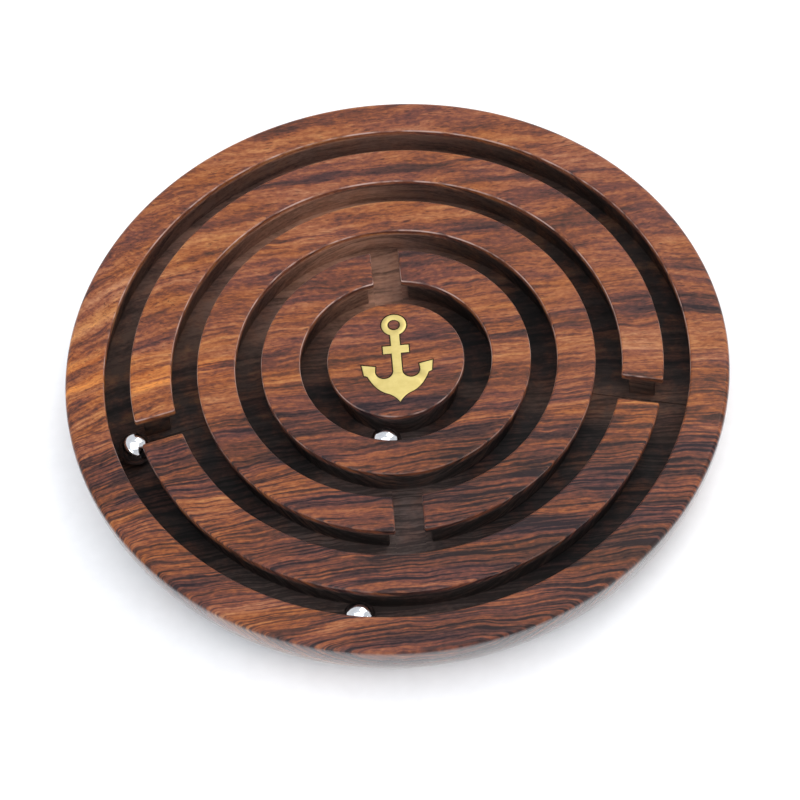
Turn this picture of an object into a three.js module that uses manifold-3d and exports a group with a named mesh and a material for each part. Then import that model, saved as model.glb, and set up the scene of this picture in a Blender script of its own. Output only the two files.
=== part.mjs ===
// Tilt maze game: a round hardwood board with three concentric ring walls, four gates between
// their channels, a brass anchor set in the centre island, and three steel balls that roll in
// channels undercut below a narrower slot, so that they can't fall out.
//
// Millimetres, +Z up. The origin is the centre of the flat underside, and +Y points to the top gate.
// The wood is built up from plain rings: the floor, the walls that stand on it, and the lips on
// top of the walls that overhang the channels.

import * as THREE from 'three';
import { mergeVertices } from 'three/addons/utils/BufferGeometryUtils.js';
import Module from 'manifold-3d';

// Board: the side falls from the eased top edge in one curve to a smaller flat base.
const BOARD_RADIUS = 63.5;
const BOARD_HEIGHT = 15;
const TOP_EASE = 1.1;
const BASE_RADIUS = 57.5;
const SIDE_SHOULDER = 6.5;

// Balls and the room they roll in.
const BALL_RADIUS = 3.175;
const BALL_PLAY = 0.75;
const FLOOR_TOP = 7;
const LIP_UNDERSIDE = 13.2;
const FLOOR_GAP = 0.02;
const WALL_GAP = 0.12;

// Channels, from the outside in: the centre-line radius and the width of the open slot.
const OUTER_CHANNEL = { radius: 53.5, slot: 5 };
const SECOND_CHANNEL = { radius: 40.6, slot: 5 };
const THIRD_CHANNEL = { radius: 28.3, slot: 5 };
const INNER_CHANNEL = { radius: 15.725, slot: 5.25 };

// Gates: straight slots through the ring walls, each with a shallow groove in the floor that
// runs on across the channels it joins. Angles are in degrees from +X.
const GATE_SLOT = 5.4;
const GROOVE_WIDTH = 5.6;
const GROOVE_DEPTH = 0.2;
const GROOVE_END_GAP = 0.4;
const RIGHT_GATE = -14.4;
const TOP_GATE = 91;
const LEFT_GATE = 193.3;
const BOTTOM_GATE = 269.8;

// Where the balls rest.
const GATE_BALL_RADIUS = 52.2;
const RESTING_ANGLE = -101.4;

// Anchor inlay, measured from its own centre, and its bed of filler.
const ANCHOR_OFFSET_X = 0.2;
const INLAY_THICKNESS = 0.8;
const BED_THICKNESS = 0.2;
const BED_MARGIN = 0.3;
const EYE_CENTRE_Y = 7.85;
const EYE_RADIUS = 2.42;
const EYE_HOLE_RADIUS = 1.2;
const SHANK_HALF_WIDTH = 0.87;
const STOCK_HALF_LENGTH = 2.5;
const STOCK_TOP = 3;
const STOCK_BOTTOM = 1.25;
const CROWN_TIP_Y = -9.95;
const CROWN_WAIST = { x: 0.72, y: -8.6 };
const CROWN_SHOULDER = { x: 2, y: -7.95 };
const ARM_BEND = { x: 4.5, y: -7.05 };
const ARM_END = { x: 5.85, y: -3.6 };
const FLUKE_HEEL = { x: 6.5, y: -3.35 };
const FLUKE_POINT = { x: 6.82, y: -1 };
const FLUKE_BARB = { x: 4.2, y: -1.56 };
const BOWL_CENTRE = { x: 2.6, y: -2.75 };

// Fineness of the facets.
const RING_STEP = THREE.MathUtils.degToRad(5);
const CURVE_STEPS = 6;
const SIDE_STEPS = 4;

const wasm = await Module();
wasm.setup();

const rad = THREE.MathUtils.degToRad;
const cavityHalfWidth = BALL_RADIUS + BALL_PLAY;
const cavityInner = (channel) => channel.radius - cavityHalfWidth;
const cavityOuter = (channel) => channel.radius + cavityHalfWidth;
const slotInner = (channel) => channel.radius - channel.slot / 2;
const slotOuter = (channel) => channel.radius + channel.slot / 2;

const wood = { color: 0x8a5238, roughness: 0.38, metalness: 0 };
const brass = { color: 0xdcc878, roughness: 0.35, metalness: 1 };
const steel = { color: 0xd8dade, roughness: 0.08, metalness: 1 };
const filler = { color: 0x2a1a12, roughness: 0.6, metalness: 0 };

// A geometry with shared corners and no triangle that has fallen to a line.
function weld(geometry) {
  geometry.deleteAttribute('normal');
  geometry.deleteAttribute('uv');
  const merged = mergeVertices(geometry, 1e-4);
  const index = merged.getIndex().array;
  const kept = [];
  for (let i = 0; i < index.length; i += 3) {
    const [a, b, c] = index.slice(i, i + 3);
    if (a !== b && b !== c && c !== a) kept.push(a, b, c);
  }
  merged.setIndex(kept);
  return merged;
}

function toManifold(geometry) {
  const mesh = new wasm.Mesh({
    numProp: 3,
    vertProperties: new Float32Array(geometry.getAttribute('position').array),
    triVerts: new Uint32Array(geometry.getIndex().array),
  });
  return new wasm.Manifold(mesh);
}

function cut(geometry, cutters) {
  let solid = toManifold(geometry);
  for (const cutter of cutters) {
    solid = solid.subtract(toManifold(cutter));
  }
  const { vertProperties, triVerts } = solid.getMesh();
  const result = new THREE.BufferGeometry();
  result.setAttribute('position', new THREE.BufferAttribute(new Float32Array(vertProperties), 3));
  result.setIndex(Array.from(triVerts));
  return result;
}

function piece(name, geometry, finish) {
  geometry.computeVertexNormals();
  const mesh = new THREE.Mesh(geometry, new THREE.MeshStandardMaterial(finish));
  mesh.name = name;
  return mesh;
}

// A flat shape raised from one height to another.
function raised(shape, bottom, top, curveSegments) {
  const geometry = new THREE.ExtrudeGeometry(shape, {
    depth: top - bottom,
    bevelEnabled: false,
    curveSegments,
  });
  geometry.translate(0, 0, bottom);
  return weld(geometry);
}

// A profile of (radius, height) points turned about the Z axis.
function turned(profile) {
  const geometry = new THREE.LatheGeometry(profile, Math.round((2 * Math.PI) / RING_STEP));
  geometry.rotateX(Math.PI / 2);
  return weld(geometry);
}

// The board's side between two heights, from the bottom up.
const sideCurve = new THREE.QuadraticBezierCurve(
  new THREE.Vector2(BASE_RADIUS, 0),
  new THREE.Vector2(BOARD_RADIUS, SIDE_SHOULDER),
  new THREE.Vector2(BOARD_RADIUS, BOARD_HEIGHT - TOP_EASE),
);

// The curve's height rises as a·t² + b·t, which gives t at any height.
function sideParameter(height) {
  const a = sideCurve.v2.y - 2 * sideCurve.v1.y;
  const b = 2 * sideCurve.v1.y;
  return (-b + Math.sqrt(b * b + 4 * a * height)) / (2 * a);
}

function sideProfile(bottom, top) {
  const from = sideParameter(bottom);
  const to = sideParameter(top);
  const points = [];
  for (let i = 0; i <= SIDE_STEPS; i += 1) {
    points.push(sideCurve.getPoint(from + ((to - from) * i) / SIDE_STEPS));
  }
  points[0].y = bottom;
  points[SIDE_STEPS].y = top;
  return points;
}

// One stretch of a ring wall between two gates, with ends parallel to the gates' own lines.
function wallStretch({ inner, outer, from, to, gap, bottom, top }) {
  const cutBack = (radius) => Math.asin(gap / 2 / radius);
  const start = rad(from);
  const end = rad(to);
  const shape = new THREE.Shape();
  shape.absarc(0, 0, outer, start + cutBack(outer), end - cutBack(outer), false);
  shape.absarc(0, 0, inner, end - cutBack(inner), start + cutBack(inner), true);
  shape.closePath();
  // An arc is divided into twice as many sides as the number asked for.
  return raised(shape, bottom, top, Math.ceil((end - start) / RING_STEP / 2));
}

// A ring wall's stretch and the lip on top of it, between an outer and an inner channel.
function wallAndLip(name, outerChannel, innerChannel, from, to) {
  const stem = wallStretch({
    inner: cavityOuter(innerChannel),
    outer: cavityInner(outerChannel),
    from,
    to,
    gap: 2 * cavityHalfWidth,
    bottom: FLOOR_TOP,
    top: LIP_UNDERSIDE,
  });
  const lip = wallStretch({
    inner: slotOuter(innerChannel),
    outer: slotInner(outerChannel),
    from,
    to,
    gap: GATE_SLOT,
    bottom: LIP_UNDERSIDE,
    top: BOARD_HEIGHT,
  });
  return [piece(name, stem, wood), piece(`${name}_lip`, lip, wood)];
}

// The floor disc, with a groove along each gate.
function boardFloor() {
  const profile = [
    new THREE.Vector2(0, 0),
    ...sideProfile(0, FLOOR_TOP),
    new THREE.Vector2(0, FLOOR_TOP),
  ];
  const groove = (angle, outerChannel, innerChannel) => {
    const inner = cavityInner(innerChannel) + GROOVE_END_GAP;
    const outer = cavityOuter(outerChannel) - GROOVE_END_GAP;
    const box = new THREE.BoxGeometry(outer - inner, GROOVE_WIDTH, 2 * GROOVE_DEPTH);
    box.translate((inner + outer) / 2, 0, FLOOR_TOP);
    box.rotateZ(rad(angle));
    return weld(box);
  };
  const grooves = [
    groove(RIGHT_GATE, OUTER_CHANNEL, SECOND_CHANNEL),
    groove(LEFT_GATE, OUTER_CHANNEL, SECOND_CHANNEL),
    groove(BOTTOM_GATE, SECOND_CHANNEL, THIRD_CHANNEL),
    groove(TOP_GATE, THIRD_CHANNEL, INNER_CHANNEL),
  ];
  return piece('board_floor', cut(turned(profile), grooves), wood);
}

function outerRim() {
  const inner = cavityOuter(OUTER_CHANNEL);
  const profile = [
    new THREE.Vector2(inner, FLOOR_TOP),
    ...sideProfile(FLOOR_TOP, LIP_UNDERSIDE),
    new THREE.Vector2(inner, LIP_UNDERSIDE),
    new THREE.Vector2(inner, FLOOR_TOP),
  ];
  return piece('outer_rim', turned(profile), wood);
}

function outerRimLip() {
  const inner = slotOuter(OUTER_CHANNEL);
  const edge = new THREE.Path();
  edge.absarc(BOARD_RADIUS - TOP_EASE, BOARD_HEIGHT - TOP_EASE, TOP_EASE, 0, Math.PI / 2, false);
  const profile = [
    new THREE.Vector2(inner, LIP_UNDERSIDE),
    ...sideProfile(LIP_UNDERSIDE, BOARD_HEIGHT - TOP_EASE),
    ...edge.getPoints(2).slice(1),
    new THREE.Vector2(inner, BOARD_HEIGHT),
    new THREE.Vector2(inner, LIP_UNDERSIDE),
  ];
  return piece('outer_rim_lip', turned(profile), wood);
}

// Half of the anchor's outline, from the tip of the crown up its right side to the eye.
function anchorHalf() {
  const join = Math.asin(SHANK_HALF_WIDTH / EYE_RADIUS);
  const bowlRadius = BOWL_CENTRE.x - SHANK_HALF_WIDTH;
  const half = new THREE.Path();
  half.moveTo(0, CROWN_TIP_Y);
  half.quadraticCurveTo(CROWN_WAIST.x, CROWN_WAIST.y, CROWN_SHOULDER.x, CROWN_SHOULDER.y);
  half.quadraticCurveTo(ARM_BEND.x, ARM_BEND.y, ARM_END.x, ARM_END.y);
  half.lineTo(FLUKE_HEEL.x, FLUKE_HEEL.y);
  half.lineTo(FLUKE_POINT.x, FLUKE_POINT.y);
  half.lineTo(FLUKE_BARB.x, FLUKE_BARB.y);
  half.absarc(BOWL_CENTRE.x, BOWL_CENTRE.y, bowlRadius, 0, -Math.PI, true);
  half.lineTo(SHANK_HALF_WIDTH, STOCK_BOTTOM);
  half.lineTo(STOCK_HALF_LENGTH, STOCK_BOTTOM);
  half.lineTo(STOCK_HALF_LENGTH, STOCK_TOP);
  half.lineTo(SHANK_HALF_WIDTH, STOCK_TOP);
  half.absarc(0, EYE_CENTRE_Y, EYE_RADIUS, join - Math.PI / 2, Math.PI / 2, false);
  return half.getPoints(CURVE_STEPS);
}

// The whole outline, running anticlockwise, from the half and its mirror image.
function anchorLoop() {
  const right = anchorHalf();
  const left = right.slice(1, -1).reverse();
  return [...right, ...left.map((point) => new THREE.Vector2(-point.x, point.y))];
}

// An anticlockwise loop with every side moved outwards by the same distance.
function grown(loop, distance) {
  return loop.map((point, i) => {
    const before = loop[(i + loop.length - 1) % loop.length];
    const after = loop[(i + 1) % loop.length];
    const arriving = point.clone().sub(before).normalize();
    const leaving = after.clone().sub(point).normalize();
    const outward = new THREE.Vector2(arriving.y + leaving.y, -arriving.x - leaving.x);
    return point.clone().addScaledVector(outward, distance / (1 + arriving.dot(leaving)));
  });
}

// The anchor's flat shape with the round hole in its eye, grown by a margin all round.
function anchorShape(margin) {
  const shape = new THREE.Shape(grown(anchorLoop(), margin));
  const hole = new THREE.Path();
  hole.absarc(0, EYE_CENTRE_Y, EYE_HOLE_RADIUS - margin, 0, 2 * Math.PI, true);
  shape.holes.push(hole);
  return shape;
}

function anchorPlate(margin, bottom, top) {
  const plate = raised(anchorShape(margin), bottom, top, CURVE_STEPS);
  plate.translate(ANCHOR_OFFSET_X, 0, 0);
  return plate;
}

// The centre island: a plain drum under a wider top, which is recessed for the anchor.
function island() {
  const pocketFloor = BOARD_HEIGHT - INLAY_THICKNESS - BED_THICKNESS;
  const disc = (radius, bottom, top) => {
    const drum = new THREE.CylinderGeometry(radius, radius, top - bottom, 48);
    drum.rotateX(Math.PI / 2);
    drum.translate(0, 0, (bottom + top) / 2);
    return weld(drum);
  };
  const top = disc(slotInner(INNER_CHANNEL), LIP_UNDERSIDE, BOARD_HEIGHT);
  const pocket = anchorPlate(BED_MARGIN, pocketFloor, BOARD_HEIGHT + 1);
  return [
    piece('centre_island', disc(cavityInner(INNER_CHANNEL), FLOOR_TOP, LIP_UNDERSIDE), wood),
    piece('centre_island_top', cut(top, [pocket]), wood),
  ];
}

function inlay() {
  const bedTop = BOARD_HEIGHT - INLAY_THICKNESS;
  return [
    piece('inlay_bed', anchorPlate(0, bedTop - BED_THICKNESS, bedTop), filler),
    piece('anchor_inlay', anchorPlate(0, bedTop, BOARD_HEIGHT), brass),
  ];
}

// How far from the board's centre a ball lies when it rests against a channel's outer wall.
const restingRadius = (channel) => channel.radius + BALL_PLAY - WALL_GAP;

function ball(name, radius, angle, floor) {
  const mesh = piece(name, weld(new THREE.SphereGeometry(BALL_RADIUS, 20, 14)), steel);
  const height = floor + BALL_RADIUS + FLOOR_GAP;
  mesh.position.set(radius * Math.cos(rad(angle)), radius * Math.sin(rad(angle)), height);
  return mesh;
}

const maze = new THREE.Group();
maze.name = 'tilt_maze_game';
maze.add(
  boardFloor(),
  outerRim(),
  outerRimLip(),
  ...wallAndLip('outer_wall_north', OUTER_CHANNEL, SECOND_CHANNEL, RIGHT_GATE, LEFT_GATE),
  ...wallAndLip('outer_wall_south', OUTER_CHANNEL, SECOND_CHANNEL, LEFT_GATE, RIGHT_GATE + 360),
  ...wallAndLip('middle_wall', SECOND_CHANNEL, THIRD_CHANNEL, BOTTOM_GATE, BOTTOM_GATE + 360),
  ...wallAndLip('inner_wall', THIRD_CHANNEL, INNER_CHANNEL, TOP_GATE, TOP_GATE + 360),
  ...island(),
  ...inlay(),
  ball('ball_left_gate', GATE_BALL_RADIUS, LEFT_GATE, FLOOR_TOP - GROOVE_DEPTH),
  ball('ball_outer_channel', restingRadius(OUTER_CHANNEL), RESTING_ANGLE, FLOOR_TOP),
  ball('ball_inner_channel', restingRadius(INNER_CHANNEL), RESTING_ANGLE, FLOOR_TOP),
);

export default maze;
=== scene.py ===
"""Looks of the tilt maze game: one carved hardwood board, a brass anchor set in dark filler, and
three steel balls. Shapes are worked out in millimetres in the frame's axes and written in metres."""

import math

import bmesh
import bpy
import numpy as np
from mathutils import Matrix, Vector
from mathutils.geometry import delaunay_2d_cdt


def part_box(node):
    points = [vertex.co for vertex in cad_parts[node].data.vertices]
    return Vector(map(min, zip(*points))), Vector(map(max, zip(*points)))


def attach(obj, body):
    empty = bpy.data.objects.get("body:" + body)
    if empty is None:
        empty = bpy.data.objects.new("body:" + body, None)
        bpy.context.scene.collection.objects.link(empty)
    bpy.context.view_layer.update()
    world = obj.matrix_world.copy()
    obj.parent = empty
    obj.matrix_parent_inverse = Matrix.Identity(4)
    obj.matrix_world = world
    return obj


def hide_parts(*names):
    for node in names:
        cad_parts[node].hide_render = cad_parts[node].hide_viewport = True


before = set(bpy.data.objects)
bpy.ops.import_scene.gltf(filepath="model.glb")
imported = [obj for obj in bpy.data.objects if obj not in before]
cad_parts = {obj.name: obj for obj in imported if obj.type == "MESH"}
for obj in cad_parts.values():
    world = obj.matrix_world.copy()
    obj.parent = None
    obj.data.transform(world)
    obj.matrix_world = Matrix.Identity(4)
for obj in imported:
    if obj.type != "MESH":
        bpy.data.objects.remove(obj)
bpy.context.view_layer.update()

MM = 0.001


def box_mm(node):
    low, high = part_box(node)
    return [round(v / MM, 3) for v in low], [round(v / MM, 3) for v in high]


# Heights and outer sizes come from the frame.
BOARD_RADIUS = box_mm("outer_rim_lip")[1][0]
BOARD_TOP = box_mm("outer_rim_lip")[1][2]
LIP_UNDERSIDE = box_mm("outer_rim_lip")[0][2]
FLOOR_TOP = box_mm("outer_rim")[0][2]
POCKET_FLOOR = box_mm("inlay_bed")[0][2]
BED_TOP = box_mm("inlay_bed")[1][2]

# The board's side, from the flat base up to the eased top edge.
BASE_RADIUS = 57.5
SIDE_SHOULDER = 6.5
TOP_EASE = 1.1
FOOT_EASE = 0.5

# Channels, from the outside in: centre-line radius and width of the open slot. Under the lips, all
# of them have the same half width.
OUTER_CHANNEL = (53.5, 5.0)
SECOND_CHANNEL = (40.6, 5.0)
THIRD_CHANNEL = (28.3, 5.0)
INNER_CHANNEL = (15.725, 5.25)
CAVITY_HALF = 3.925

# Gates: angles in degrees, the width of the slot between the lips, and the floor's grooves.
RIGHT_GATE = -14.4
TOP_GATE = 91.0
LEFT_GATE = 193.3
BOTTOM_GATE = 269.8
GATE_SLOT = 5.4
GROOVE_WIDTH = 5.6
GROOVE_DEPTH = 0.2
GROOVE_END_GAP = 0.4

# Edges worked by hand: the ease along every slot, the broken edge under each lip, and the plan
# corners at the gates.
SLOT_EASE = 0.42
LIP_FOOT = 0.12
PLAN_CORNER = 0.35

# The anchor: its centre's place along X, the pocket's margin round it, and its outline, which is
# measured from that centre.
ANCHOR_X = 0.2
POCKET_MARGIN = 0.23
EYE_Y = 7.85
EYE_RADIUS = 2.42
EYE_HOLE = 1.2
SHANK_HALF = 0.87
STOCK_HALF = 2.5
STOCK_TOP = 3.0
STOCK_BOTTOM = 1.25
CROWN_TIP = (0.0, -9.95)
CROWN_WAIST = (0.72, -8.6)
CROWN_SHOULDER = (2.0, -7.95)
ARM_BEND = (4.5, -7.05)
ARM_END = (5.85, -3.6)
FLUKE_HEEL = (6.5, -3.35)
FLUKE_POINT = (6.82, -1.0)
FLUKE_BARB = (4.2, -1.56)
BOWL_CENTRE = (2.6, -2.75)

# The inlay's edges: the brass's bevel, how far the filler lies below the top, the gap between pieces
# that would touch, and what keeps the mitres at sharp corners short.
BRASS_BEVEL = 0.1
FILLER_SINK = 0.06
INLAY_GAP = 0.01
MITRE_LIMIT = 0.75

# Fineness: the steps along each curve, and the angle in degrees above which an edge is sharp.
RING_SIDES = 360
RING_STEP = math.tau / RING_SIDES
EASE_STEPS = 5
SIDE_STEPS = 18
FOOT_STEPS = 3
CORNER_STEPS = 4
CROWN_STEPS = 6
ARM_STEPS = 12
BOWL_STEPS = 16
EYE_STEPS = 24
BEVEL_STEPS = 3
BALL_STEPS = 24
CREASE_ANGLE = 32

WOOD_NODES = [
    "board_floor", "outer_rim", "outer_rim_lip",
    "outer_wall_north", "outer_wall_north_lip", "outer_wall_south", "outer_wall_south_lip",
    "middle_wall", "middle_wall_lip", "inner_wall", "inner_wall_lip",
    "centre_island", "centre_island_top",
]


# ---------------------------------------------------------------- outlines

def slot_inner(channel):
    return channel[0] - channel[1] / 2


def slot_outer(channel):
    return channel[0] + channel[1] / 2


def cavity_inner(channel):
    return channel[0] - CAVITY_HALF


def cavity_outer(channel):
    return channel[0] + CAVITY_HALF


def arc(centre, radius, start, end, steps):
    """Points on an arc, both ends included; angles in radians."""
    angles = [start + (end - start) * i / steps for i in range(steps + 1)]
    return [(centre[0] + radius * math.cos(a), centre[1] + radius * math.sin(a)) for a in angles]


def quadratic(a, control, b, steps):
    """Points on a quadratic Bezier curve, both ends included."""
    points = []
    for i in range(steps + 1):
        t = i / steps
        weights = ((1 - t) ** 2, 2 * t * (1 - t), t * t)
        points.append(tuple(sum(w * p[k] for w, p in zip(weights, (a, control, b))) for k in (0, 1)))
    return points


def circle(radius, centre=(0.0, 0.0), sides=RING_SIDES):
    return arc(centre, radius, 0, math.tau, sides)[:-1]


def turn(points, degrees, mirror=False):
    """Points turned about the board's centre, after an optional mirror in the X axis."""
    c, s = math.cos(math.radians(degrees)), math.sin(math.radians(degrees))
    flip = -1 if mirror else 1
    return [(x * c - flip * y * s, x * s + flip * y * c) for x, y in points]


def gate_corners(inner, outer, gap):
    """One end of a ring wall beside a gate that runs along +X, from the outer arc to the inner."""
    level = gap / 2 + PLAN_CORNER
    outer_centre = (math.sqrt((outer - PLAN_CORNER) ** 2 - level ** 2), level)
    inner_centre = (math.sqrt((inner + PLAN_CORNER) ** 2 - level ** 2), level)
    outer_start = math.atan2(outer_centre[1], outer_centre[0])
    inner_end = math.atan2(-inner_centre[1], -inner_centre[0])
    down = -math.pi / 2
    return (
        arc(outer_centre, PLAN_CORNER, outer_start, down, CORNER_STEPS)
        + arc(inner_centre, PLAN_CORNER, down, inner_end, CORNER_STEPS)
    )


def wall_outline(inner, outer, start, end, gap):
    """A ring wall between the gates at two angles, running clockwise from its first gate."""
    corners = gate_corners(inner, outer, gap)
    first = turn(corners, start)
    last = turn(corners, end, mirror=True)
    steps = round(math.radians(end - start) / RING_STEP)

    def sweep(radius, a, b):
        angle_a = math.atan2(a[1], a[0])
        angle_b = angle_a + (math.atan2(b[1], b[0]) - angle_a) % math.tau
        return arc((0, 0), radius, angle_a, angle_b, steps)[1:-1]

    inner_arc = sweep(inner, first[-1], last[-1])
    outer_arc = sweep(outer, first[0], last[0])
    return first + inner_arc + last[::-1] + outer_arc[::-1]


def groove_outline(angle, outer_channel, inner_channel):
    """The rectangle of a gate's groove in the floor."""
    near = cavity_inner(inner_channel) + GROOVE_END_GAP
    far = cavity_outer(outer_channel) - GROOVE_END_GAP
    half = GROOVE_WIDTH / 2
    return turn([(near, -half), (far, -half), (far, half), (near, half)], angle)


def anchor_half():
    """The right half of the anchor, from the crown's tip up to the top of the eye."""
    join = math.asin(SHANK_HALF / EYE_RADIUS)
    bowl = BOWL_CENTRE[0] - SHANK_HALF
    quarter = math.pi / 2
    return (
        quadratic(CROWN_TIP, CROWN_WAIST, CROWN_SHOULDER, CROWN_STEPS)
        + quadratic(CROWN_SHOULDER, ARM_BEND, ARM_END, ARM_STEPS)[1:]
        + [FLUKE_HEEL, FLUKE_POINT, FLUKE_BARB]
        + arc(BOWL_CENTRE, bowl, 0, -math.pi, BOWL_STEPS)
        + [(SHANK_HALF, STOCK_BOTTOM), (STOCK_HALF, STOCK_BOTTOM)]
        + [(STOCK_HALF, STOCK_TOP), (SHANK_HALF, STOCK_TOP)]
        + arc((0, EYE_Y), EYE_RADIUS, join - quarter, quarter, EYE_STEPS)
    )


def anchor_outline():
    right = anchor_half()
    left = [(-x, y) for x, y in right[1:-1]]
    return [(x + ANCHOR_X, y) for x, y in right + left[::-1]]


def grown(loop, distance):
    """An anticlockwise loop moved outwards, with the longest mitres held short."""
    result = []
    for i, point in enumerate(loop):
        here = Vector(point)
        arriving = (here - Vector(loop[i - 1])).normalized()
        leaving = (Vector(loop[(i + 1) % len(loop)]) - here).normalized()
        outward = Vector((arriving.y + leaving.y, -arriving.x - leaving.x))
        reach = distance / max(MITRE_LIMIT, 1 + arriving.dot(leaving))
        result.append(tuple(here + outward * reach))
    return result


# ---------------------------------------------------------------- mesh building

class Carving:
    """Corners and faces of one closed piece, gathered in millimetres."""

    def __init__(self):
        self.points = []
        self.faces = []

    def loop(self, outline, height):
        """A closed loop of corners at one height."""
        first = len(self.points)
        self.points += [(x, y, height) for x, y in outline]
        return list(range(first, len(self.points)))

    def strip(self, a, b):
        """Quads between two loops with the same number of corners."""
        for i in range(len(a)):
            self.faces.append((a[i - 1], a[i], b[i], b[i - 1]))

    def stack(self, loops):
        """Strips between each loop and the next."""
        for a, b in zip(loops, loops[1:]):
            self.strip(a, b)

    def flat(self, loops):
        """The level region inside an odd number of the loops."""
        index = [i for loop in loops for i in loop]
        plan = np.array([self.points[i][:2] for i in index])
        edges = []
        first = 0
        for loop in loops:
            ring = list(range(first, first + len(loop)))
            edges += list(zip(ring, ring[1:] + ring[:1]))
            first += len(loop)
        starts = plan[[a for a, _ in edges]]
        ends = plan[[b for _, b in edges]]
        _, _, triangles, origin, _, _ = delaunay_2d_cdt([Vector(p) for p in plan], edges, [], 0, 1e-6)
        corners = np.array([[origin[v][0] for v in t] for t in triangles])
        for t, (x, y) in zip(corners, plan[corners].mean(axis=1)):
            crosses = (starts[:, 1] > y) != (ends[:, 1] > y)
            a, b = starts[crosses], ends[crosses]
            at = a[:, 0] + (y - a[:, 1]) * (b[:, 0] - a[:, 0]) / (b[:, 1] - a[:, 1])
            if np.count_nonzero(at > x) % 2:
                self.faces.append(tuple(index[v] for v in t))

    def build(self, name, body, material, nodes):
        """Makes the Blender object, which rides on a body and stands for its CAD nodes."""
        mesh = bpy.data.meshes.new(name)
        mesh.from_pydata(self.points, [], self.faces)
        shape = bmesh.new()
        shape.from_mesh(mesh)
        bmesh.ops.recalc_face_normals(shape, faces=shape.faces)
        shape.to_mesh(mesh)
        shape.free()
        mesh.transform(Matrix.Scale(MM, 4))
        mesh.shade_smooth()
        mesh.set_sharp_from_angle(angle=math.radians(CREASE_ANGLE))
        piece = bpy.data.objects.new(name, mesh)
        bpy.context.scene.collection.objects.link(piece)
        weigh = piece.modifiers.new("even_shading", "WEIGHTED_NORMAL")
        weigh.keep_sharp = True
        return finish_piece(piece, body, material, nodes)


def finish_piece(piece, body, material, nodes):
    """Gives a piece its material and body, and hides the CAD nodes that it stands for."""
    piece.data.materials.append(material)
    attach(piece, body)
    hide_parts(*nodes)
    return piece


def rounded_levels(ease, steps):
    """(inset, height) pairs over a rounded edge that ends level with the board's top."""
    angles = [math.pi / 2 * i / steps for i in range(steps + 1)]
    return [(ease * (1 - math.cos(a)), BOARD_TOP - ease * (1 - math.sin(a))) for a in angles]


def lip_levels():
    """(inset, height) pairs up a lip: a broken lower edge, its face, and the rounded top edge."""
    lower_edge = [(LIP_FOOT, LIP_UNDERSIDE), (0.0, LIP_UNDERSIDE + LIP_FOOT)]
    return lower_edge + rounded_levels(SLOT_EASE, EASE_STEPS)


def side_levels():
    """(radius, height) pairs up the board's side, from the edge of the flat base to the top face."""
    base = (BASE_RADIUS, 0.0)
    shoulder = (BOARD_RADIUS, SIDE_SHOULDER)
    side = quadratic(base, shoulder, (BOARD_RADIUS, BOARD_TOP - TOP_EASE), SIDE_STEPS)
    foot = quadratic((BASE_RADIUS - FOOT_EASE, 0.0), base, side[1], FOOT_STEPS)
    top = arc((BOARD_RADIUS - TOP_EASE, BOARD_TOP - TOP_EASE), TOP_EASE, 0, math.pi / 2, EASE_STEPS + 1)
    return foot + side[2:] + top[1:]


def carve_rim(board):
    """The base, the side and the rim with its lip, down to the edge of the channel floor."""
    levels = side_levels()
    edge = slot_outer(OUTER_CHANNEL)
    levels += [(edge + inset, z) for inset, z in reversed(lip_levels())]
    levels += [(cavity_outer(OUTER_CHANNEL), LIP_UNDERSIDE), (cavity_outer(OUTER_CHANNEL), FLOOR_TOP)]
    loops = [board.loop(circle(radius), height) for radius, height in levels]
    board.flat([loops[0]])
    board.stack(loops)
    return loops[-1]


def carve_wall(board, outer_channel, inner_channel, start, end):
    """A ring wall: an upright stem, and a lip that stands out over the channels beside it."""
    inner, outer = cavity_outer(inner_channel), cavity_inner(outer_channel)
    stem = wall_outline(inner, outer, start, end, 2 * CAVITY_HALF)
    loops = [board.loop(stem, FLOOR_TOP), board.loop(stem, LIP_UNDERSIDE)]
    inner, outer = slot_outer(inner_channel), slot_inner(outer_channel)
    for inset, height in lip_levels():
        outline = wall_outline(inner + inset, outer - inset, start, end, GATE_SLOT + 2 * inset)
        loops.append(board.loop(outline, height))
    board.stack(loops)
    board.flat([loops[-1]])
    return loops[0]


def carve_island(board):
    """The centre island, with the anchor's pocket sunk in its top and wood left in the eye."""
    stem = circle(cavity_inner(INNER_CHANNEL))
    loops = [board.loop(stem, FLOOR_TOP), board.loop(stem, LIP_UNDERSIDE)]
    for inset, height in lip_levels():
        loops.append(board.loop(circle(slot_inner(INNER_CHANNEL) - inset), height))
    board.stack(loops)
    pocket = [grown(anchor_outline(), POCKET_MARGIN), eye_circle(EYE_HOLE - POCKET_MARGIN)]
    mouths = [board.loop(outline, BOARD_TOP) for outline in pocket]
    floors = [board.loop(outline, POCKET_FLOOR) for outline in pocket]
    board.flat([loops[-1], *mouths])
    for mouth, floor in zip(mouths, floors):
        board.strip(mouth, floor)
    board.flat(floors)
    return loops[0]


def carve_groove(board, angle, outer_channel, inner_channel):
    """The shallow groove along a gate, where the cutter crossed from channel to channel."""
    outline = groove_outline(angle, outer_channel, inner_channel)
    mouth = board.loop(outline, FLOOR_TOP)
    floor = board.loop(outline, FLOOR_TOP - GROOVE_DEPTH)
    board.strip(mouth, floor)
    board.flat([floor])
    return mouth


def eye_circle(radius):
    return circle(radius, (ANCHOR_X, EYE_Y), 2 * EYE_STEPS)


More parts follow.
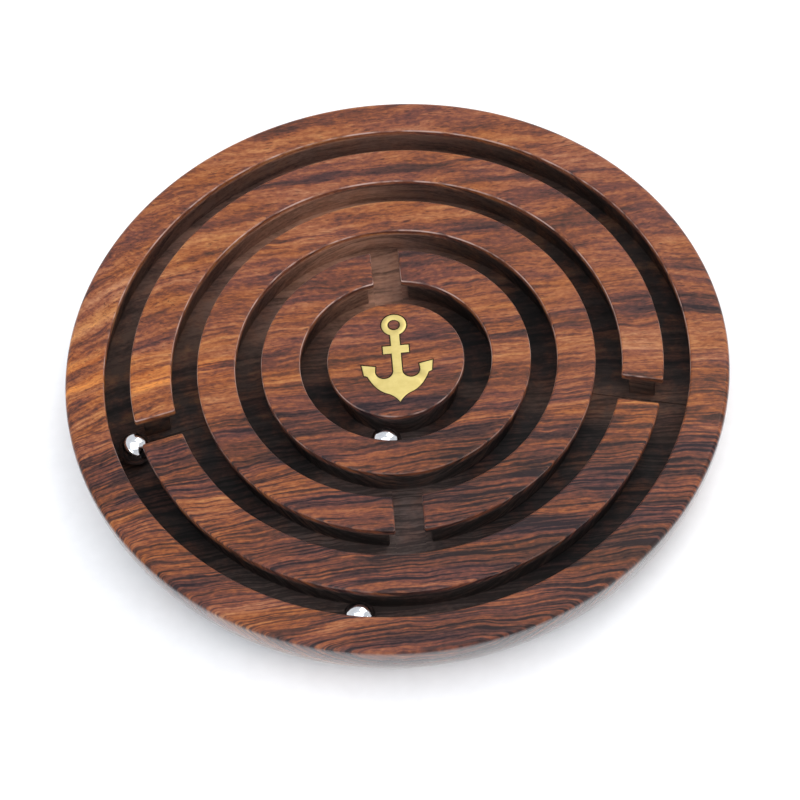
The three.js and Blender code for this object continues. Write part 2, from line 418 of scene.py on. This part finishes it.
def carved_board(material):
    """The whole wooden board as the one carved piece that it is."""
    board = Carving()
    floor = [carve_rim(board)]
    for outer, inner, start, end in (
        (OUTER_CHANNEL, SECOND_CHANNEL, RIGHT_GATE, LEFT_GATE),
        (OUTER_CHANNEL, SECOND_CHANNEL, LEFT_GATE, RIGHT_GATE + 360),
        (SECOND_CHANNEL, THIRD_CHANNEL, BOTTOM_GATE, BOTTOM_GATE + 360),
        (THIRD_CHANNEL, INNER_CHANNEL, TOP_GATE, TOP_GATE + 360),
    ):
        floor.append(carve_wall(board, outer, inner, start, end))
    floor.append(carve_island(board))
    for angle, outer, inner in (
        (RIGHT_GATE, OUTER_CHANNEL, SECOND_CHANNEL),
        (LEFT_GATE, OUTER_CHANNEL, SECOND_CHANNEL),
        (BOTTOM_GATE, SECOND_CHANNEL, THIRD_CHANNEL),
        (TOP_GATE, THIRD_CHANNEL, INNER_CHANNEL),
    ):
        floor.append(carve_groove(board, angle, outer, inner))
    board.flat(floor)
    return board.build("carved_board", "board", material, WOOD_NODES)


def inlay_filler(material):
    """Dark filler: a thin layer under the brass that rises as a line all round it."""
    filler = Carving()
    margin = POCKET_MARGIN - INLAY_GAP
    outside = [grown(anchor_outline(), margin), eye_circle(EYE_HOLE - margin)]
    inside = [grown(anchor_outline(), INLAY_GAP), eye_circle(EYE_HOLE - INLAY_GAP)]
    rim = BOARD_TOP - FILLER_SINK
    low = [filler.loop(outline, POCKET_FLOOR + INLAY_GAP) for outline in outside]
    high = [filler.loop(outline, rim) for outline in outside]
    lip = [filler.loop(outline, rim) for outline in inside]
    bed = [filler.loop(outline, BED_TOP) for outline in inside]
    filler.flat(low)
    for levels in zip(low, high, lip, bed):
        filler.stack(levels)
    filler.flat(bed)
    return filler.build("inlay_filler", "board", material, ["inlay_bed"])


def brass_anchor(material):
    """The flat brass anchor, with its upper edge broken."""
    anchor = Carving()
    levels = [(0.0, BED_TOP + INLAY_GAP)] + rounded_levels(BRASS_BEVEL, BEVEL_STEPS)
    outer = [anchor.loop(grown(anchor_outline(), -inset), z) for inset, z in levels]
    hole = [anchor.loop(eye_circle(EYE_HOLE + inset), z) for inset, z in levels]
    anchor.stack(outer)
    anchor.stack(hole)
    anchor.flat([outer[0], hole[0]])
    anchor.flat([outer[-1], hole[-1]])
    return anchor.build("brass_anchor", "board", material, ["anchor_inlay"])


def steel_ball(node, body, material):
    """A bearing ball in place of its faceted CAD node: a cube's grid drawn out to a sphere."""
    low, high = (Vector(corner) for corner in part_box(node))
    radius = (high.y - low.y) / 2
    shape = bmesh.new()
    bmesh.ops.create_cube(shape, size=2)
    bmesh.ops.subdivide_edges(shape, edges=shape.edges, cuts=BALL_STEPS - 1, use_grid_fill=True)
    for corner in shape.verts:
        spread = Vector(math.tan(v * math.pi / 4) for v in corner.co)
        corner.co = spread.normalized() * radius
    name = "steel_" + node
    mesh = bpy.data.meshes.new(name)
    shape.to_mesh(mesh)
    shape.free()
    mesh.shade_smooth()
    piece = bpy.data.objects.new(name, mesh)
    piece.location = (low + high) / 2
    bpy.context.scene.collection.objects.link(piece)
    return finish_piece(piece, body, material, [node])


# ---------------------------------------------------------------- materials

class Shader:
    """A new material, with short calls that add nodes to it and return their output sockets."""

    def __init__(self, name):
        self.material = bpy.data.materials.new(name)
        self.material.use_nodes = True
        self.tree = self.material.node_tree
        self.surface = self.tree.nodes["Principled BSDF"]

    def add(self, kind, inputs, **settings):
        made = self.tree.nodes.new("ShaderNode" + kind)
        for key, value in settings.items():
            setattr(made, key, value)
        for key, value in inputs.items():
            self.feed(made.inputs[key], value)
        return made

    def feed(self, socket, value):
        if isinstance(value, bpy.types.NodeSocket):
            self.tree.links.new(value, socket)
        else:
            socket.default_value = value

    def finish(self, **values):
        """Sets or links the surface's sockets and returns the material."""
        for key, value in values.items():
            self.feed(self.surface.inputs[key.replace("_", " ")], value)
        return self.material

    def math(self, operation, *values):
        return self.add("Math", dict(enumerate(values)), operation=operation).outputs[0]

    def length(self, a, b):
        """The length of a plan vector from its two parts."""
        return self.math("SQRT", self.math("ADD", self.math("MULTIPLY", a, a), self.math("MULTIPLY", b, b)))

    def vector(self, operation, a, b):
        return self.add("VectorMath", {0: a, 1: b}, operation=operation).outputs[0]

    def position(self):
        """Place in the piece's own frame, in millimetres."""
        place = self.tree.nodes.new("ShaderNodeTexCoord").outputs["Object"]
        return self.vector("MULTIPLY", place, (1 / MM,) * 3)

    def split(self, place):
        return self.add("SeparateXYZ", {0: place}).outputs

    def noise_node(self, place, cell, detail, roughness):
        scaled = self.vector("DIVIDE", place, cell)
        return self.add(
            "TexNoise", {"Vector": scaled, "Scale": 1.0, "Detail": detail, "Roughness": roughness}
        )

    def noise(self, place, cell, detail=2.0, roughness=0.5):
        """Soft noise about 0.5 whose blotches have about the given size in millimetres."""
        return self.noise_node(place, cell, detail, roughness).outputs["Fac"]

    def wander(self, place, cell, reach, detail=2.0):
        """The place moved about by noise, by up to about half of the reach in millimetres."""
        colour = self.noise_node(place, cell, detail, 0.5).outputs["Color"]
        centred = self.vector("SUBTRACT", colour, (0.5, 0.5, 0.5))
        return self.vector("ADD", place, self.vector("MULTIPLY", centred, reach))

    def ramp(self, value, stops):
        """A colour ramp with stops of (position, colour)."""
        made = self.tree.nodes.new("ShaderNodeValToRGB")
        self.tree.links.new(value, made.inputs[0])
        elements = made.color_ramp.elements
        while len(elements) < len(stops):
            elements.new(0.5)
        for element, (position, colour) in zip(elements, stops):
            element.position = position
            element.color = (*colour, 1.0)
        return made.outputs[0]

    def fade(self, value, start, end, low=0.0, high=1.0):
        """A smooth step from low to high as the value goes from start to end."""
        inputs = {"Value": value, "From Min": start, "From Max": end, "To Min": low, "To Max": high}
        return self.add("MapRange", inputs, interpolation_type="SMOOTHSTEP").outputs[0]

    def blend(self, factor, a, b, mode="MIX"):
        """Colour a blended towards colour b; the node's colour sockets are numbers 6 and 7."""
        made = self.tree.nodes.new("ShaderNodeMix")
        made.data_type = "RGBA"
        made.blend_type = mode
        for key, value in ((0, factor), (6, a), (7, b)):
            self.feed(made.inputs[key], (*value, 1.0) if isinstance(value, tuple) else value)
        return made.outputs[2]

    def facing(self, place, heading):
        """1 on the side of the board at the heading in degrees, falling to -1 on the far side."""
        away = self.vector("NORMALIZE", self.vector("MULTIPLY", place, (1, 1, 0)), (0, 0, 0))
        heading = math.radians(heading)
        towards = (math.cos(heading), math.sin(heading), 0)
        product = self.add("VectorMath", {0: away, 1: towards}, operation="DOT_PRODUCT")
        return product.outputs["Value"]

    def bump(self, height, depth):
        """Relief of the given depth in millimetres."""
        return self.add("Bump", {"Height": height, "Distance": depth * MM}).outputs[0]


# The log that the board was cut from. Its pith runs along X, below and behind the board, and bows
# upwards away from BOW_X, by PITH_BOW times the fourth power of the distance. PITH_REACH turns an
# angle round the pith into a length.
PITH_Y = 75.0
PITH_Z = -60.0
BOW_X = 14.0
PITH_BOW = 3.6e-7
PITH_REACH = 75.0

# Waves in the grain: the size of a wave, and how far it moves the grain.
LONG_WAVE = ((90, 40, 40), (0, 8, 8))
SHORT_WAVE = ((10, 8, 8), (0, 1.9, 1.9))

# The timber's tone, which is low in dark grain and high in pale, and how it changes over the board:
# from the back to the front, from side to side, and from the rim in to the middle.
FRONT_REACH = (10.0, -32.0)
SIDE_REACH = (-60.0, 60.0)
MIDDLE_REACH = (44.0, 6.0)
TONE_AT_BACK = 0.6
TONE_AT_FRONT = 0.535
TONE_TO_SIDE = 0.025
TONE_TO_MIDDLE = 0.08

# Layers of figure: the size along, out and round the log, and the weight at the back and the front.
FIGURE = [
    ((110, 8.0, 60), 0.68, 0.62),
    ((28, 1.5, 13), 0.68, 0.42),
    ((10, 0.55, 1.0), 0.45, 0.4),
    ((1.2, 0.45, 0.45), 0.45, 0.4),
]
FIGURE_DETAIL = 3.0
FIGURE_ROUGHNESS = 0.55

# Fine dark lines and broader veins: the size, where the noise starts and ends a mark, and the
# weight at the back and the front.
LINES = ((17, 0.45, 5), (0.44, 0.62), (0.05, 0.26))
VEINS = ((70, 1.4, 24), (0.58, 0.68), (0.16, 0.06))

# Open pores, short along the grain.
PORE_SIZE = (2.6, 0.17, 0.3)
PORE_EDGE = (0.6, 0.72)
PORE_SHADE = 0.6

# A brighter, more orange streak of the timber runs in from the left, level with the left gate.
STREAK_Y = 2.0
STREAK_SPREAD = (9.0, 2.0)
STREAK_RUN = (-18.0, -46.0)
STREAK_SIZE = (30, 1.7, 12)
STREAK_EDGE = (0.44, 0.58)
STREAK_LIFT = 0.13

# Timber colours by tone, from the darkest grain lines to the palest wood.
SEAM = (0.013, 0.006, 0.006)
PLUM = (0.056, 0.021, 0.0135)
RUSSET = (0.112, 0.034, 0.017)
ORANGE = (0.205, 0.062, 0.021)
TAN = (0.320, 0.132, 0.048)
AMBER = (0.460, 0.190, 0.055)
TIMBER = [(0.22, SEAM), (0.38, PLUM), (0.5, RUSSET), (0.62, ORANGE), (0.8, TAN), (0.94, AMBER)]

# Cool and warm tints that drift through the timber, and the streak's own.
TINT_SIZE = (30, 4.0, 12)
TINTS = [(0.36, (0.95, 0.98, 1.36)), (0.64, (1.07, 1.04, 0.88))]
STREAK_TINT = (1.18, 1.0, 0.72)

# The channels' insides are painted dark as shade in the recesses, and the painted shade changes
# round the board in place of the light's direction: black at the sides and the front, and browner
# towards the back. The pale tan isn't reached in the outer channel. The painted shade is deeper
# towards the middle; painted light makes it thinner on the walls at the front and umber at the
# right gate.
CHANNEL_SHADE_BLACK = (0.011, 0.0105, 0.0105)
CHANNEL_SHADE_UMBER = (0.046, 0.029, 0.023)
CHANNEL_SHADE_BROWN = (0.095, 0.054, 0.042)
CHANNEL_SHADE_TAN = (0.245, 0.128, 0.085)
FRONT_WALL_LIGHT = (0.044, 0.035, 0.032)
CHANNEL_SHADE = [(0.3, CHANNEL_SHADE_BLACK), (0.65, CHANNEL_SHADE_UMBER), (0.87, CHANNEL_SHADE_BROWN), (0.99, CHANNEL_SHADE_TAN)]
CHANNEL_LIGHT_HEADING = 110.0
TAN_REACH = (44.0, 50.0)
TAN_LIMIT = 0.88
DEEP_REACH = (26.0, 12.0)
DEEP_SHADE = (0.65, 0.65, 0.65)
FRONT_HEADING = 272.0
FRONT_ARC = (0.5, 0.9)
RIGHT_GATE_LIGHT_ARC = (0.988, 0.998)

# The painted shade's darkness by the timber's tone, its cover, and how far below the top it starts.
CHANNEL_SHADE_BY_TONE = [(0.35, (0.55, 0.55, 0.55)), (0.7, (1.5, 1.5, 1.5))]
CHANNEL_SHADE_COVER = (0.75, 0.95)
CHANNEL_SHADE_DEPTH = 0.8

# Painted light on the channel floors at the front, which makes them a paler brown-grey.
FRONT_FLOOR_LIGHT = (0.080, 0.059, 0.053)
FRONT_FLOOR_HEADING = 262.0
FRONT_FLOOR_ARC = (0.75, 1.0)
FLOOR_LAYER = (0.7, 0.1)

# Radii between which the painted shade of the channels' insides gives way to the side's gloss and
# painted reflection. The foot of the side lies between them, so it has a little of each.
CHANNELS_END = 57.6
SIDE_REFLECTION_START = 57.7
SIDE_START = 58.5

# A painted highlight along the slots' edges, palest at the back, and a painted bluish reflection on the
# polished side.
EDGE_HIGHLIGHT = (0.480, 0.320, 0.270)
EDGE_HIGHLIGHT_REACH = (-30.0, 5.0)
EDGE_HIGHLIGHT_COVER = (0.15, 0.9)
SIDE_REFLECTION_TINT = (0.75, 0.80, 0.86)


def grain_coordinates(s, place):
    """Places in the log, in millimetres: along the grain, out from the pith, and round it."""
    bent = s.wander(place, *LONG_WAVE)
    bent = s.wander(bent, *SHORT_WAVE)
    along, across, up = s.split(bent)
    across = s.math("SUBTRACT", across, PITH_Y)
    bow = s.math("MULTIPLY", s.math("POWER", s.math("SUBTRACT", along, BOW_X), 4), PITH_BOW)
    up = s.math("SUBTRACT", s.math("SUBTRACT", up, PITH_Z), bow)
    out = s.length(across, up)
    around = s.math("MULTIPLY", s.math("ARCTAN2", across, up), PITH_REACH)
    return s.add("CombineXYZ", {0: along, 1: out, 2: around}).outputs[0]


def orange_streak(s, grain, x, y):
    """1 in the brightest parts of the streak and 0 away from it."""
    distance = s.math("ABSOLUTE", s.math("SUBTRACT", y, STREAK_Y))
    streak = s.math("MULTIPLY", s.fade(x, *STREAK_RUN), s.fade(distance, *STREAK_SPREAD))
    return s.math("MULTIPLY", streak, s.fade(s.noise(grain, STREAK_SIZE), *STREAK_EDGE))


def timber_tone(s, grain, x, y, radius, streak):
    """The timber's tone: denser and darker lines towards the front."""
    front = s.fade(y, *FRONT_REACH)

    def towards_front(back_value, front_value):
        return s.fade(front, 0.0, 1.0, back_value, front_value)

    sideways = s.fade(x, *SIDE_REACH, TONE_TO_SIDE, -TONE_TO_SIDE)
    tone = s.math("ADD", towards_front(TONE_AT_BACK, TONE_AT_FRONT), sideways)
    tone = s.math("SUBTRACT", tone, s.fade(radius, *MIDDLE_REACH, 0.0, TONE_TO_MIDDLE))
    for size, back_weight, front_weight in FIGURE:
        swing = s.math("SUBTRACT", s.noise(grain, size, FIGURE_DETAIL, FIGURE_ROUGHNESS), 0.5)
        tone = s.math("ADD", tone, s.math("MULTIPLY", swing, towards_front(back_weight, front_weight)))
    for size, edge, weights in (LINES, VEINS):
        mark = s.fade(s.noise(grain, size), *edge)
        tone = s.math("SUBTRACT", tone, s.math("MULTIPLY", mark, towards_front(*weights)))
    return s.math("ADD", tone, s.math("MULTIPLY", streak, STREAK_LIFT))


def timber_colour(s, grain, tone, streak, pore):
    """The colour of the bare, polished timber."""
    tint = s.ramp(s.noise(grain, TINT_SIZE, 3.0), TINTS)
    tint = s.blend(streak, tint, STREAK_TINT)
    colour = s.blend(1.0, s.ramp(tone, TIMBER), tint, "MULTIPLY")
    return s.blend(s.math("MULTIPLY", pore, PORE_SHADE), colour, SEAM)


def channel_shade_colour(s, place, z, radius, tone):
    """The painted shade of the channels' insides, with painted light on the walls at the front, on the
    floors at the front and at the right gate, darker along the timber's dark lines.
    """
    palest = s.fade(radius, *TAN_REACH, 1.0, TAN_LIMIT)
    # Painted shade in the channels, paler towards the back-left in place of the light's direction.
    painted_shade = s.ramp(s.math("MINIMUM", s.facing(place, CHANNEL_LIGHT_HEADING), palest), CHANNEL_SHADE)
    deep = s.blend(1.0, painted_shade, DEEP_SHADE, "MULTIPLY")
    painted_shade = s.blend(s.fade(radius, *DEEP_REACH), painted_shade, deep)
    # Painted light at the right gate: the painted shade turns umber there.
    painted_shade = s.blend(s.fade(s.facing(place, RIGHT_GATE), *RIGHT_GATE_LIGHT_ARC), painted_shade, CHANNEL_SHADE_UMBER)
    on_floor = s.fade(z, *(FLOOR_TOP + height for height in FLOOR_LAYER))
    # Painted light on the channel walls at the front, paler than the painted shade.
    front_wall = s.math("SUBTRACT", s.fade(s.facing(place, FRONT_HEADING), *FRONT_ARC), on_floor)
    painted_shade = s.blend(s.math("MAXIMUM", front_wall, 0.0), painted_shade, FRONT_WALL_LIGHT)
    # Painted light on the channel floors at the front.
    front_floor_lit = s.fade(s.facing(place, FRONT_FLOOR_HEADING), *FRONT_FLOOR_ARC)
    painted_shade = s.blend(s.math("MULTIPLY", on_floor, front_floor_lit), painted_shade, FRONT_FLOOR_LIGHT)
    return s.blend(1.0, painted_shade, s.ramp(tone, CHANNEL_SHADE_BY_TONE), "MULTIPLY")


def slot_edge(s, z, within):
    """1 on the rounded edges along the slots."""
    below_top = s.fade(z, BOARD_TOP - 0.1, BOARD_TOP - SLOT_EASE / 2)
    above_face = s.fade(z, BOARD_TOP - 1.3 * SLOT_EASE, BOARD_TOP - SLOT_EASE)
    return s.math("MULTIPLY", s.math("MULTIPLY", below_top, above_face), within)


def hardwood():
    """Rosewood-like timber with the grain along X, with painted shade in the channels, a painted highlight
    along the slot edges and a painted reflection on the side.
    """
    s = Shader("polished_rosewood")
    place = s.position()
    grain = grain_coordinates(s, place)
    x, y, z = s.split(place)
    radius = s.length(x, y)
    streak = orange_streak(s, grain, x, y)
    tone = timber_tone(s, grain, x, y, radius, streak)
    pore = s.fade(s.noise(grain, PORE_SIZE, 1.0), *PORE_EDGE)
    colour = timber_colour(s, grain, tone, streak, pore)

    within = s.fade(radius, SIDE_START, CHANNELS_END)
    inside = s.math("MULTIPLY", s.fade(z, BOARD_TOP - CHANNEL_SHADE_DEPTH, LIP_UNDERSIDE), within)
    cover = s.fade(s.noise(place, (4, 4, 4), 4.0, 0.6), 0.35, 0.6, *CHANNEL_SHADE_COVER)
    painted_shade = channel_shade_colour(s, place, z, radius, tone)
    # Painted shade over the channels' insides.
    colour = s.blend(s.math("MULTIPLY", inside, cover), colour, painted_shade)

    edge = slot_edge(s, z, within)
    # Painted highlight along the slot edges, patchy and palest at the back.
    highlight_patches = s.fade(s.noise(place, (4, 4, 4), 3.0), 0.38, 0.62, 0.1, 1.0)
    edge_highlight = s.math("MULTIPLY", s.math("MULTIPLY", edge, highlight_patches), s.fade(y, *EDGE_HIGHLIGHT_REACH, *EDGE_HIGHLIGHT_COVER))
    colour = s.blend(edge_highlight, colour, EDGE_HIGHLIGHT)

    # Painted bluish reflection on the side, which also has a real glossy coat.
    outside = s.fade(z, BOARD_TOP - 0.25 * TOP_EASE, BOARD_TOP - 0.7 * TOP_EASE)
    outside = s.math("MULTIPLY", outside, s.fade(radius, SIDE_REFLECTION_START, SIDE_START))
    colour = s.blend(outside, colour, s.blend(1.0, colour, SIDE_REFLECTION_TINT, "MULTIPLY"))

    polish = s.fade(s.noise(place, (11, 9, 9), 3.0, 0.6), 0.35, 0.65, 0.38, 0.5)
    return s.finish(
        Base_Color=colour,
        Roughness=s.math("ADD", polish, s.math("MULTIPLY", inside, 0.3)),
        Normal=s.bump(s.math("SUBTRACT", s.math("MULTIPLY", tone, 0.5), pore), 0.01),
        Specular_IOR_Level=0.18,
        Coat_Weight=s.math("MAXIMUM", s.math("MULTIPLY", edge, 0.7), outside),
        Coat_IOR=s.fade(outside, 0.0, 1.0, 1.5, 1.75),
        Coat_Roughness=0.14,
    )


# The other materials' colours, each from its darker patches to its paler ones.
FILLER = [(0.3, (0.012, 0.007, 0.003)), (0.75, (0.045, 0.027, 0.012))]
BRASS = [(0.32, (0.53, 0.42, 0.15)), (0.62, (0.60, 0.49, 0.19))]
STEEL = [(0.3, (0.66, 0.67, 0.69)), (0.7, (0.80, 0.81, 0.83))]
PAPER = [(0.3, (0.83, 0.83, 0.83)), (0.7, (0.86, 0.86, 0.86))]


def filler_compound():
    """Dark cured filler with a fine grit."""
    s = Shader("dark_filler")
    grit = s.noise(s.position(), (0.25, 0.25, 0.25), 3.0)
    return s.finish(
        Base_Color=s.ramp(grit, FILLER),
        Roughness=s.fade(grit, 0.3, 0.7, 0.6, 0.8),
        Normal=s.bump(grit, 0.02),
        Specular_IOR_Level=0.1,
    )


def brushed_brass():
    """Flat brass, rubbed down with the wood and a little tarnished."""
    s = Shader("brushed_brass")
    place = s.position()
    scratch = s.noise(place, (6.0, 0.06, 0.5), 2.0, 0.6)
    tarnish = s.noise(place, (2.4, 1.8, 1.0), 3.0, 0.6)
    return s.finish(
        Base_Color=s.ramp(tarnish, BRASS),
        Metallic=1.0,
        Roughness=s.fade(scratch, 0.3, 0.7, 0.34, 0.5),
        Normal=s.bump(scratch, 0.004),
    )


def bearing_steel():
    """Bright ball-bearing steel with faint rolling marks."""
    s = Shader("bearing_steel")
    place = s.position()
    mark = s.noise(place, (0.9, 0.9, 0.9), 4.0, 0.7)
    scuff = s.noise(place, (0.12, 1.6, 0.5), 2.0, 0.6)
    return s.finish(
        Base_Color=s.ramp(mark, STEEL),
        Metallic=1.0,
        Roughness=s.fade(mark, 0.4, 0.75, 0.05, 0.16),
        Normal=s.bump(scuff, 0.0015),
    )


def studio_paper():
    """The pale floor and backdrop."""
    s = Shader("studio_paper")
    tooth = s.noise(s.position(), (3.0, 3.0, 3.0), 3.0)
    return s.finish(
        Base_Color=s.ramp(tooth, PAPER),
        Roughness=0.8,
    )


# ---------------------------------------------------------------- studio

# The camera: its distance from a point on the board in millimetres, its height and roll in degrees,
# its sensor and lens in millimetres, and its nearest reach in metres.
VIEW_DISTANCE = 496.1
VIEW_ELEVATION = 56.42
VIEW_ROLL = -5.06
VIEW_TARGET = (0.14, -9.59, 15.0)
SENSOR = 36.0
LENS = 118.17
CLIP_START = 0.01

# The backdrop, in metres: a floor just under the board, and a wall all round.
FLOOR_MIDDLE = 0.3
FLOOR_REACH = 2.2
FLOOR_DROP = 0.05 * MM
COVE_RADIUS = 0.9
COVE_STEPS = 16
WALL_TOP = 2.4
BACKDROP_SIDES = 96

# Softboxes aimed at the board: name, place and size in metres, power in watts, and colour.
SOFTBOXES = [
    ("ceiling", (0.0, -0.3, 1.3), (1.4, 1.2), 9, (0.98, 0.98, 1.0)),
    ("key", (0.6, 0.67, 1.07), (0.8, 0.8), 7, (1.0, 0.98, 0.95)),
    ("window", (-0.75, -0.95, 0.75), (0.9, 0.5), 7, (0.84, 0.92, 1.0)),
    ("side", (1.2, -0.6, 0.6), (0.8, 0.5), 7, (1.0, 0.95, 0.92)),
]
SKY_COLOUR = (0.92, 0.95, 1.0, 1.0)
SKY_STRENGTH = 0.9


def add_camera():
    """The camera, in front of the board and looking down on it."""
    elevation = math.radians(VIEW_ELEVATION)
    back = Vector((0, -math.cos(elevation), math.sin(elevation)))
    data = bpy.data.cameras.new("camera")
    data.lens, data.sensor_width = LENS, SENSOR
    data.clip_start = CLIP_START
    camera = bpy.data.objects.new("camera", data)
    roll = Matrix.Rotation(math.radians(VIEW_ROLL), 4, "Z")
    aim = back.to_track_quat("Z", "Y").to_matrix().to_4x4()
    place = Matrix.Translation((Vector(VIEW_TARGET) + back * VIEW_DISTANCE) * MM)
    camera.matrix_world = place @ aim @ roll
    bpy.context.scene.collection.objects.link(camera)
    bpy.context.scene.camera = camera


def add_backdrop():
    """A round floor that curves up into a wall, so that it is plain from every side."""
    cove = arc((FLOOR_REACH - COVE_RADIUS, COVE_RADIUS), COVE_RADIUS, -math.pi / 2, 0, COVE_STEPS)
    levels = [(FLOOR_MIDDLE, 0.0)] + cove + [(FLOOR_REACH, WALL_TOP)]
    sides = BACKDROP_SIDES
    rings = [[(*p, z) for p in circle(r, sides=sides)] for r, z in levels]
    points = [point for ring in rings for point in ring]
    faces = [tuple(range(sides))]
    for k in range(len(rings) - 1):
        for i in range(sides):
            j = (i + 1) % sides
            faces.append((k * sides + j, k * sides + i, (k + 1) * sides + i, (k + 1) * sides + j))
    mesh = bpy.data.meshes.new("backdrop")
    mesh.from_pydata(points, [], faces)
    mesh.shade_smooth()
    mesh.materials.append(studio_paper())
    backdrop = bpy.data.objects.new("backdrop", mesh)
    backdrop.location.z = -FLOOR_DROP
    bpy.context.scene.collection.objects.link(backdrop)


def add_softbox(name, place, size, power, colour):
    """A rectangular lamp that faces the board and isn't seen itself."""
    data = bpy.data.lights.new(name, "AREA")
    data.shape = "RECTANGLE"
    data.size, data.size_y = size
    data.energy = power
    data.color = colour
    lamp = bpy.data.objects.new(name, data)
    lamp.location = place
    lamp.rotation_euler = Vector(place).to_track_quat("Z", "Y").to_euler()
    lamp.visible_camera = False
    bpy.context.scene.collection.objects.link(lamp)


def add_light():
    """The softboxes, and a pale sky all round."""
    for softbox in SOFTBOXES:
        add_softbox(*softbox)
    world = bpy.data.worlds.new("studio")
    world.use_nodes = True
    sky = world.node_tree.nodes["Background"]
    sky.inputs["Color"].default_value = SKY_COLOUR
    sky.inputs["Strength"].default_value = SKY_STRENGTH
    bpy.context.scene.world = world
    bpy.context.scene.view_settings.view_transform = "Standard"


# ---------------------------------------------------------------- scene

steel = bearing_steel()
carved_board(hardwood())
inlay_filler(filler_compound())
brass_anchor(brushed_brass())
steel_ball("ball_left_gate", "gate_ball", steel)
steel_ball("ball_outer_channel", "outer_ball", steel)
steel_ball("ball_inner_channel", "inner_ball", steel)
add_backdrop()
add_light()
add_camera()
